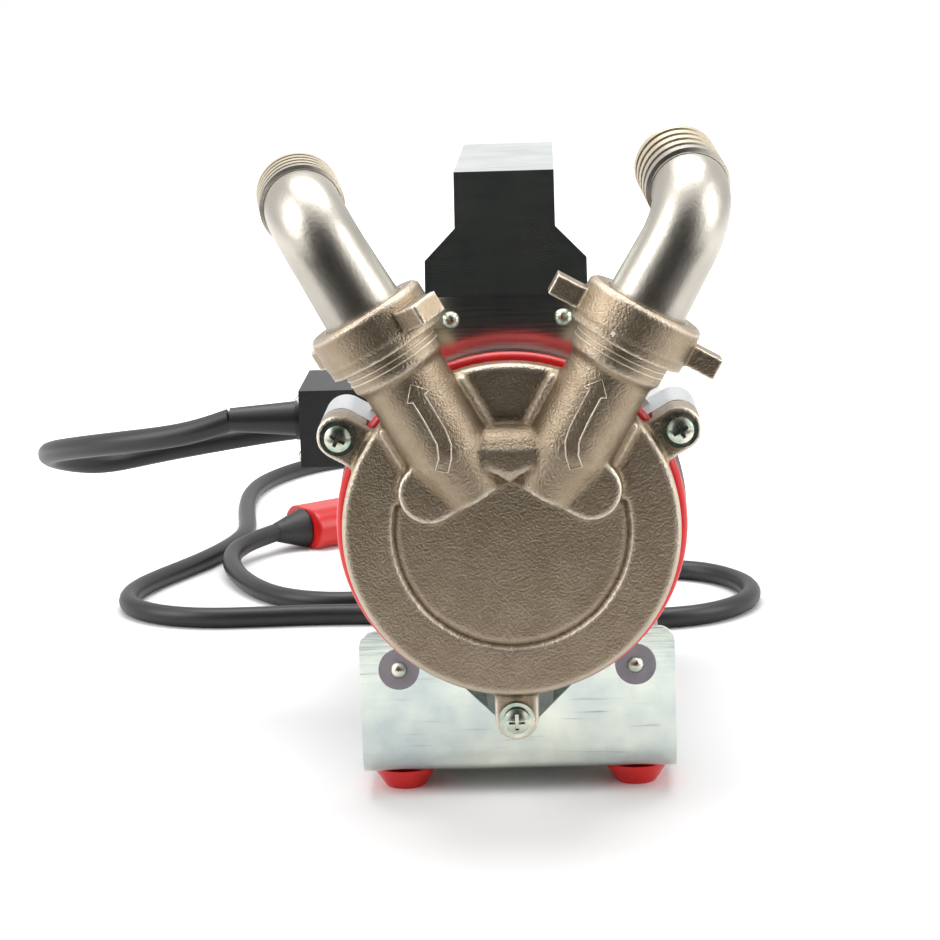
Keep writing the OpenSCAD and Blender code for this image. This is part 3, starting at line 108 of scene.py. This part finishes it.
def blend(made, factor, first, second):
    """The colour between two others, each of them an sRGB hex value or another node's socket."""
    first, second = [colour(c) if isinstance(c, str) else c for c in (first, second)]
    mixed = add(made, "ShaderNodeMix", {"Factor": factor, "A": first, "B": second}, data_type="RGBA")
    return mixed.outputs["Result"]


def mottled(name, settings, scale, detail, dark, pale):
    """A new material that drifts between two tones. Its place and noise sockets come with it."""
    made, shader = material(name, settings)
    place = add(made, "ShaderNodeTexCoord", {}).outputs["Object"]
    cloud = noise(made, place, scale, detail)
    join(made, blend(made, cloud, dark, pale), shader, "Base Color")
    return made, shader, place, cloud


def uneven_gloss(made, shader, value, low, high):
    """Roughness that runs from low to high with a value."""
    gloss = add(made, "ShaderNodeMapRange", {"Value": value, "To Min": low, "To Max": high})
    join(made, gloss.outputs["Result"], shader, "Roughness")


def fine_relief(made, shader, height, strength, distance):
    """Grain too fine for geometry, its distance in metres."""
    relief = add(made, "ShaderNodeBump", {"Strength": strength, "Distance": distance, "Height": height})
    join(made, relief.outputs["Normal"], shader, "Normal")


# Vulcanised rubber sheath: nearly black, with a soft broad sheen and dust in its fine grain
sheath, shader, place = mottled("rubber_sheath", {"Roughness": 0.42, "IOR": 1.52}, 60.0, 4.0,
                                "0C0C0D", "1E1D1E")[:3]
fine_relief(sheath, shader, noise(sheath, place, 1800.0, 3.0), 0.25, 0.0002)

# Guides of its middle line in millimetres, from the strain relief to the plug, counted from the floor
# straight below the middle of the cover's face
cord_route = [
    (-98, 121.3, 106.4),
    (-114, 122, 101), (-141, 133, 97), (-164, 155, 91), (-178, 183, 84), (-163, 212, 73), (-145, 223, 75),
    (-121, 229, 78), (-60, 240, 85), (-22, 252, 73), (30, 287, 47), (60, 339, 17), (67, 398, 4),
    (61, 459, 4), (35, 515, 4), (-6, 553, 4), (-54, 572, 4), (-101, 566, 4), (-129, 524, 4),
    (-137, 482, 4), (-131, 428, 4), (-125, 388, 4), (-142, 338, 4), (-163, 302, 4), (-166, 266, 4),
    (-133, 241, 4), (-82, 250, 4), (-19, 240, 4), (40, 226, 4), (77, 232, 4), (98, 267, 4),
    (78, 309, 4), (39, 311, 4), (-6, 295, 4), (-50, 266, 4), (-93, 265, 4), (-119, 300, 4),
    (-133, 348, 7),
    (-112, 374, 9),
]
cover_foot = Vector((15, -91, 0))
cord_r = 4


def smooth_route(points, steps):
    """Points along the smooth curve that the route guides, starting and ending on its own end points."""
    guides = [Vector(p) for p in points]
    guides = [2 * guides[0] - guides[1]] + guides + [2 * guides[-1] - guides[-2]]
    path = []
    for i in range(len(points) - 1):
        for k in range(steps):
            u = k / steps
            v = 1 - u
            path.append((v ** 3 * guides[i] + (3 * u ** 3 - 6 * u * u + 4) * guides[i + 1]
                         + (3 * v ** 3 - 6 * v * v + 4) * guides[i + 2] + u ** 3 * guides[i + 3]) / 6)
    return [point + cover_foot for point in path + [guides[-2]]]


def thread_curve(name, points, r, made, closed=False):
    """A round bar of radius r along a line of points, all in millimetres."""
    curve = bpy.data.curves.new(name, "CURVE")
    curve.dimensions = "3D"
    curve.bevel_depth = r * MM
    curve.bevel_resolution = 5
    curve.use_fill_caps = True
    line = curve.splines.new("POLY")
    line.points.add(len(points) - 1)
    for point, p in zip(line.points, points):
        point.co = (p[0] * MM, p[1] * MM, p[2] * MM, 1)
    line.use_cyclic_u = closed
    line.use_smooth = True
    curve.materials.append(made)
    bar = bpy.data.objects.new(name, curve)
    bpy.context.scene.collection.objects.link(bar)
    return bar


steps_between = 7
cord_path = smooth_route(cord_route, steps_between)
lead = thread_curve("mains_lead", cord_path, cord_r, sheath)
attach(lead, "pump")
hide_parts("power_cord")


# Plug: flat two-pin plug, moulded in red with a black sleeve behind it and a black face,
# lying on the floor with its round brass pins pointing away.
def paint(made, *nodes):
    """Gives CAD nodes a material in place of their plain one."""
    for name in nodes:
        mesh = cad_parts[name].data
        mesh.materials.clear()
        mesh.materials.append(made)


# Points of a CAD piece that lie closer than this, in metres, are joined. Each round of smoothing moves a
# point half of the way to the middle of its neighbours.
weld = 0.000002
half_way = 0.5


def soft_copy(node, name, voxel, rounds, made):
    """A copy of a CAD node with the rounded edges and fillets of a moulded or cast piece. It is drawn again
    in cells of voxel millimetres, which are then smoothed that many rounds."""
    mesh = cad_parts[node].data.copy()
    mesh.name = name
    mesh.materials.clear()
    mesh.materials.append(made)
    shell = bmesh.new()
    shell.from_mesh(mesh)
    bmesh.ops.remove_doubles(shell, verts=shell.verts, dist=weld)
    shell.to_mesh(mesh)
    shell.free()
    piece = bpy.data.objects.new(name, mesh)
    bpy.context.scene.collection.objects.link(piece)
    remesh = piece.modifiers.new("skin", "REMESH")
    remesh.mode = "VOXEL"
    remesh.voxel_size = voxel * MM
    remesh.use_smooth_shade = True
    soften = piece.modifiers.new("soften", "SMOOTH")
    soften.factor = half_way
    soften.iterations = rounds
    return piece


# PVC shell: saturated red, glossy from the mould, slightly uneven
red_shell = mottled("moulded_red_pvc", {"Roughness": 0.32, "IOR": 1.53}, 90.0, 2.0, "B3100F", "D61B18")[0]

# Nylon: black, matt, with the fine spark-eroded grain of the mould
black_nylon, shader, place = mottled("grained_black_nylon", {"Roughness": 0.5, "IOR": 1.53}, 120.0, 3.0,
                                     "101011", "1B1B1D")[:3]
fine_relief(black_nylon, shader, noise(black_nylon, place, 2200.0, 2.0), 0.35, 0.0002)

# Brass: turned and then dulled in clouds, with a soft shine
brass = mottled("turned_brass", {"Metallic": 1.0, "Roughness": 0.28}, 150.0, 5.0, "A9853C", "D6B364")[0]

plug_shell = soft_copy("plug_body", "plug_shell", 0.5, 5, red_shell)
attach(plug_shell, "pump")
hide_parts("plug_body")
plug_ends = soft_copy("plug_cap", "plug_ends", 0.5, 3, black_nylon)
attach(plug_ends, "pump")
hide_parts("plug_cap")
paint(brass, "plug_pins")


# Floor and studio: white paper that fades into a white room, two large soft lights from the sides and one
# from above. Black cloth in front of the bench, out of the picture, is what the bright sheet metal and the
# casting mirror, so it is there for reflections only.
paper, shader = material("white_paper", {"Base Color": colour("F4F4F4"), "Roughness": 0.9,
                                         "Emission Color": (1, 1, 1, 1)})
place = add(paper, "ShaderNodeTexCoord", {}).outputs["Object"]
lit_round = (-0.03, 0.06, 0)
middle = add(paper, "ShaderNodeVectorMath", {0: place, 1: lit_round}, operation="DISTANCE")
far = add(paper, "ShaderNodeMapRange",
          {"Value": middle.outputs["Value"], "From Min": 0.16, "From Max": 0.75, "To Max": 0.85},
          interpolation_type="SMOOTHSTEP")
ray = add(paper, "ShaderNodeLightPath", {}).outputs
seen = add(paper, "ShaderNodeMath", {0: ray["Is Camera Ray"], 1: ray["Is Glossy Ray"]}, operation="MAXIMUM")
white = add(paper, "ShaderNodeMath", {0: seen.outputs["Value"], 1: far.outputs["Result"]},
            operation="MULTIPLY")
join(paper, white.outputs["Value"], shader, "Emission Strength")
floor_half = 12
floor_mesh = bpy.data.meshes.new("floor")
sweep = bmesh.new()
bmesh.ops.create_grid(sweep, x_segments=1, y_segments=1, size=floor_half)
sweep.to_mesh(floor_mesh)
sweep.free()
floor_mesh.materials.append(paper)
floor = bpy.data.objects.new("floor", floor_mesh)
bpy.context.scene.collection.objects.link(floor)

world = bpy.data.worlds.new("studio")
bpy.context.scene.world = world
world.use_nodes = True
sky = world.node_tree.nodes["Background"]
sky.inputs["Color"].default_value = (1, 1, 1, 1)
ray = add(world, "ShaderNodeLightPath", {}).outputs
seen = add(world, "ShaderNodeMath", {0: ray["Is Camera Ray"], 1: ray["Is Glossy Ray"]}, operation="MAXIMUM")
bright = add(world, "ShaderNodeMapRange", {"Value": seen.outputs["Value"], "To Min": 0.35, "To Max": 1.0})
join(world, bright.outputs["Result"], sky, "Strength")


def soft_light(name, place, target, size, power):
    """A soft box with its middle at a place in metres, facing a target, its power in watts."""
    light = bpy.data.lights.new(name, "AREA")
    light.shape = "RECTANGLE"
    light.size, light.size_y = size
    light.energy = power
    lamp = bpy.data.objects.new(name, light)
    facing = (Vector(target) - Vector(place)).to_track_quat("-Z", "Y").to_matrix().to_4x4()
    lamp.matrix_world = Matrix.Translation(place) @ facing
    bpy.context.scene.collection.objects.link(lamp)


pump_front = (0, -0.05, 0.1)
soft_light("left_light", (-1.3, -0.5, 1.0), pump_front, (0.9, 1.3), 17)
soft_light("right_light", (1.4, -0.4, 0.9), pump_front, (0.8, 1.3), 14)
soft_light("top_light", (0.0, 0.35, 1.6), (0, 0.0, 0.1), (1.4, 1.0), 22)

# The cloth: matt black felt, one width on the floor and one hung behind it
black_felt = material("black_felt", {"Base Color": colour("060606"), "Roughness": 1.0})[0]
cloth_half = 0.8
lying = Matrix.Translation((0, -1.06, 0.002))
hung = Matrix.Translation((0, -1.1, 0.81)) @ Matrix.Rotation(math.radians(90), 4, "X")
felt_mesh = bpy.data.meshes.new("black_cloth")
cloth = bmesh.new()
for spread in (lying, hung):
    bmesh.ops.create_grid(cloth, x_segments=1, y_segments=1, size=cloth_half, matrix=spread)
cloth.to_mesh(felt_mesh)
cloth.free()
felt_mesh.materials.append(black_felt)
felt = bpy.data.objects.new("black_cloth", felt_mesh)
bpy.context.scene.collection.objects.link(felt)
felt.visible_camera = False
felt.visible_diffuse = False
felt.visible_shadow = False


# Pump cover: sand cast bronze with a thin nickel plate, cast in one with its three lugs and two port
# tubes. Sand leaves every inner corner filled, most of all the crotch between the tubes, and every edge
# round. Its tone drifts at random. Sharp edges are painted pale cream as painted highlight, and inner
# corners are painted dark brown as painted shade.
cast_nickel, shader = material("sandcast_nickelled_bronze", {"Metallic": 1.0})
place = add(cast_nickel, "ShaderNodeTexCoord", {}).outputs["Object"]
stained = blend(cast_nickel, noise(cast_nickel, place, 110.0, 6.0, 0.65), "86755F", "B3A48F")
bend = add(cast_nickel, "ShaderNodeNewGeometry", {}).outputs["Pointiness"]
# Painted highlight: sharp edges, picked out by pointiness, turn pale cream
edge = add(cast_nickel, "ShaderNodeMapRange", {"Value": bend, "From Min": 0.505, "From Max": 0.56})
painted_edge_highlight = blend(cast_nickel, edge.outputs["Result"], stained, "EEE4D6")
# Painted shade: hollow corners, picked out by pointiness, turn dark brown
corner = add(cast_nickel, "ShaderNodeMapRange", {"Value": bend, "From Min": 0.5, "From Max": 0.44})
painted_corner_shade = blend(cast_nickel, corner.outputs["Result"], painted_edge_highlight, "46371F")
join(cast_nickel, painted_corner_shade, shader, "Base Color")
sand = noise(cast_nickel, place, 1300.0, 3.0, 0.6)
uneven_gloss(cast_nickel, shader, sand, 0.3, 0.46)
fine_relief(cast_nickel, shader, sand, 0.8, 0.0004)

cover = soft_copy("pump_cover", "cover_casting", 0.75, 6, cast_nickel)
# Corners of the metal in the crotch: across, up from the pump's axis and out of the cover's face
pump_axis = 92
corners = [(0, 16.6, 7.9), (0, 19.5, 9.4), (-8, 22, 9.4), (8, 22, 9.4), (-10, 27, 9.4), (10, 27, 9.4),
           (0, 16.6, -2), (-8, 22, -2), (8, 22, -2), (-10, 27, -2), (10, 27, -2)]
fill = bmesh.new()
fill.from_mesh(cover.data)
crotch = [fill.verts.new((Vector((x, -out, pump_axis + up)) + cover_foot) * MM) for x, up, out in corners]
bmesh.ops.convex_hull(fill, input=crotch)
fill.to_mesh(cover.data)
fill.free()
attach(cover, "pump")
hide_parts("pump_cover")

# On each port tube: a flow arrow cast as a thin raised outline, and the first turns of the thread that
# run out below the nut. The tubes lean outwards, and get thinner below where the taper starts.
port_lean = math.radians(29.5)
port_apart = 3
tube_r = 13
end_drop = 3.5
taper_start = 30.4
taper_run = 16


def on_port(side, inward, depth, along):
    """A place in millimetres, counted along a port tube from the pump's axis and from the tube's own axis."""
    turn = port_lean * side
    across = side * (port_apart - inward)
    return Vector((across * math.cos(turn) + along * math.sin(turn), depth,
                   pump_axis - across * math.sin(turn) + along * math.cos(turn))) + cover_foot


# Outline of the arrow: towards the other tube, and along the tube
arrow = [(2.2, 55.2), (5.6, 51.0), (4.1, 50.8), (4.0, 44.5), (3.8, 38.5), (3.0, 34.0), (0.9, 30.4),
         (-2.2, 27.2), (-4.9, 29.6), (-2.2, 32.2), (-0.5, 36.3), (-0.1, 43.5), (-0.1, 50.4), (-1.4, 51.1)]
ridge_r = 0.28
thread_r = 0.3
neck_r = 14.6
steps = 72
round_neck = [2 * math.pi * i / steps for i in range(steps)]
for side, word in ((-1, "left"), (1, "right")):
    outline = []
    for inward, along in arrow:
        r = tube_r - end_drop * max(0, taper_start - along) / taper_run
        outline.append(on_port(side, inward, -math.sqrt(r * r - inward * inward), along))
    raised = thread_curve(word + "_flow_arrow", outline, ridge_r, cast_nickel, closed=True)
    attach(raised, "pump")
    for k, along in enumerate((62.4, 64.2)):
        turns = [on_port(side, neck_r * math.cos(a), neck_r * math.sin(a), along) for a in round_neck]
        thread = thread_curve("%s_thread_%d" % (word, k + 1), turns, thread_r, cast_nickel, closed=True)
        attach(thread, "pump")


# Union nuts: the same sand cast metal, with two wings to turn each nut by hand and the same rounded edges
# as the cover. Each turns round its own port tube.
for side, body in (("left", "left_nut"), ("right", "right_nut")):
    nut = soft_copy(side + "_union_nut", side + "_nut_casting", 0.5, 5, cast_nickel)
    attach(nut, body)
    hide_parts(side + "_union_nut")


# Hose elbows: gravity cast in the same metal and tumbled to a smooth satin skin before plating. Behind the
# bend the ribs are painted tan as painted reflection, pale on their crests as painted highlight and darker
# between them as painted shade.
satin_nickel, shader = material("tumbled_nickelled_bronze", {"Metallic": 1.0})
place = add(satin_nickel, "ShaderNodeTexCoord", {}).outputs["Object"]
plated = blend(satin_nickel, noise(satin_nickel, place, 70.0, 4.0), "A29D94", "BBB6AC")
depth = add(satin_nickel, "ShaderNodeSeparateXYZ", {"Vector": place}).outputs["Y"]
# Painted reflection: behind the bend the colour turns to the tan rib tones
back = add(satin_nickel, "ShaderNodeMapRange", {"Value": depth, "From Min": -0.079, "From Max": -0.073})
bend = add(satin_nickel, "ShaderNodeNewGeometry", {}).outputs["Pointiness"]
# Painted highlight and shade: convex rib crests turn pale, the grooves between them dark tan
crest_highlight_mask = add(satin_nickel, "ShaderNodeMapRange", {"Value": bend, "From Min": 0.47, "From Max": 0.56})
painted_rib_light = blend(satin_nickel, crest_highlight_mask.outputs["Result"], "8D7F69", "D9CCB3")
join(satin_nickel, blend(satin_nickel, back.outputs["Result"], plated, painted_rib_light), shader, "Base Color")
skin = noise(satin_nickel, place, 900.0, 3.0)
uneven_gloss(satin_nickel, shader, skin, 0.3, 0.42)
fine_relief(satin_nickel, shader, skin, 0.2, 0.0003)
paint(satin_nickel, "left_elbow", "right_elbow")


# Screws, nuts and washers: zinc-plated and passivated steel, silver with a faint green and yellow tint that
# drifts from one screw to the next.
def ramp(made, factor, low, high):
    """Colour between two stops, each of them a position and an sRGB hex value."""
    tint = add(made, "ShaderNodeValToRGB", {"Fac": factor})
    for stop, (position, text) in zip(tint.color_ramp.elements, (low, high)):
        stop.position = position
        stop.color = colour(text)
    return tint.outputs["Color"]


zinc_screw, shader = material("passivated_zinc_steel", {"Metallic": 1.0})
place = add(zinc_screw, "ShaderNodeTexCoord", {}).outputs["Object"]
film = noise(zinc_screw, place, 260.0, 2.0)
join(zinc_screw, ramp(zinc_screw, film, (0.35, "9FB3A4"), (0.65, "DAD8C6")), shader, "Base Color")
uneven_gloss(zinc_screw, shader, film, 0.18, 0.34)
paint(zinc_screw, "cover_screws", "cover_washers", "impeller_nut", "tie_rod_nuts", "cowl_screws",
      "base_fasteners", "foot_screws", "foot_nuts", "handle_fasteners", "box_screws")


# Base and handle: 2 mm steel sheet, punched, bent and then zinc plated; the bright zinc mirrors the room
# and shows cool grey and pale green clouds where the passivation ran off, and dark scuffs along the rolling.
zinc_sheet, shader = material("zinc_plated_sheet", {"Metallic": 1.0})
place = add(zinc_sheet, "ShaderNodeTexCoord", {}).outputs["Object"]
cloud = noise(zinc_sheet, place, 32.0, 5.0, 0.6)
clouded = ramp(zinc_sheet, cloud, (0.3, "AEBABD"), (0.7, "E4E9DA"))
rolled = add(zinc_sheet, "ShaderNodeMapping", {"Vector": place, "Scale": (40.0, 700.0, 700.0)})
lines = noise(zinc_sheet, rolled.outputs["Vector"], 1.0, 4.0)
scuff = add(zinc_sheet, "ShaderNodeMapRange",
            {"Value": lines, "From Min": 0.62, "From Max": 0.74, "To Max": 0.6})
join(zinc_sheet, blend(zinc_sheet, scuff.outputs["Result"], clouded, "6E7678"), shader, "Base Color")
uneven_gloss(zinc_sheet, shader, lines, 0.1, 0.24)
fine_relief(zinc_sheet, shader, lines, 0.12, 0.0003)
paint(zinc_sheet, "base_bracket", "handle", "capacitor_clip")


# Red ring and feet: moulded rubber with a soft gloss. The ring lies between the cover and the pump body,
# and the feet carry the base.
red_rubber = mottled("moulded_red_rubber", {"Roughness": 0.3, "IOR": 1.5}, 140.0, 3.0, "C20F12", "E01F1C")[0]
paint(red_rubber, "red_ring", "feet")


# Seals, strain relief, switch box, fan, cowl and impeller: the same black rubber, grained black nylon and
# brass as on the lead and the plug. The seals and the impeller lie hidden.
paint(sheath, "cover_oring", "shaft_seal", "port_seals", "cable_gland")
paint(black_nylon, "switch_box", "box_lid", "switch_body", "switch_rocker", "cooling_fan", "fan_cowl")
paint(brass, "impeller")


# Motor and pump body castings: die cast aluminium, shot blasted to an even pale grey. The drawn casing
# and the capacitor's can have the same skin.
blasted, shader, place, shot = mottled("shot_blasted_aluminium", {"Metallic": 1.0}, 1100.0, 2.0,
                                       "B9BABB", "D8D9DA")
uneven_gloss(blasted, shader, shot, 0.38, 0.52)
fine_relief(blasted, shader, shot, 0.3, 0.0003)
paint(blasted, "pump_body", "front_shield", "rear_shield", "motor_casing", "capacitor")


# Shaft, bearings, rods and laminations: ground steel, in clouds of brighter and duller grey, nearly all of
# it hidden in the motor.
ground, shader, place, cloud = mottled("ground_steel", {"Metallic": 1.0}, 200.0, 4.0,
                                       "9A9C9F", "C3C5C8")
uneven_gloss(ground, shader, cloud, 0.2, 0.35)
paint(ground, "motor_shaft", "front_bearing_outer", "front_bearing_inner", "rear_bearing_outer",
      "rear_bearing_inner", "tie_rods", "impeller_key", "stator_core", "rotor_core")


# Windings: enamelled copper wire, dipped in brown varnish, in bands along the wires. They lie hidden in
# the motor.
copper, shader = material("varnished_copper_wire", {"Roughness": 0.35, "Metallic": 0.7})
place = add(copper, "ShaderNodeTexCoord", {}).outputs["Object"]
wires = add(copper, "ShaderNodeTexWave", {"Vector": place, "Scale": 300.0, "Distortion": 3.0})
join(copper, blend(copper, wires.outputs["Fac"], "5E2A12", "A8552A"), shader, "Base Color")
paint(copper, "stator_windings")


# Spacers and terminal block: grey fibre washers between base and screws, and ivory polyamide inside the
# switch box.
grey_fibre = mottled("grey_fibre_washer", {"Roughness": 0.6, "IOR": 1.5}, 300.0, 3.0, "77737A", "928E93")[0]
paint(grey_fibre, "base_spacers")
ivory = mottled("ivory_polyamide", {"Roughness": 0.45, "IOR": 1.53}, 300.0, 3.0, "D8CFB6", "E8E1CC")[0]
paint(ivory, "terminal_block")
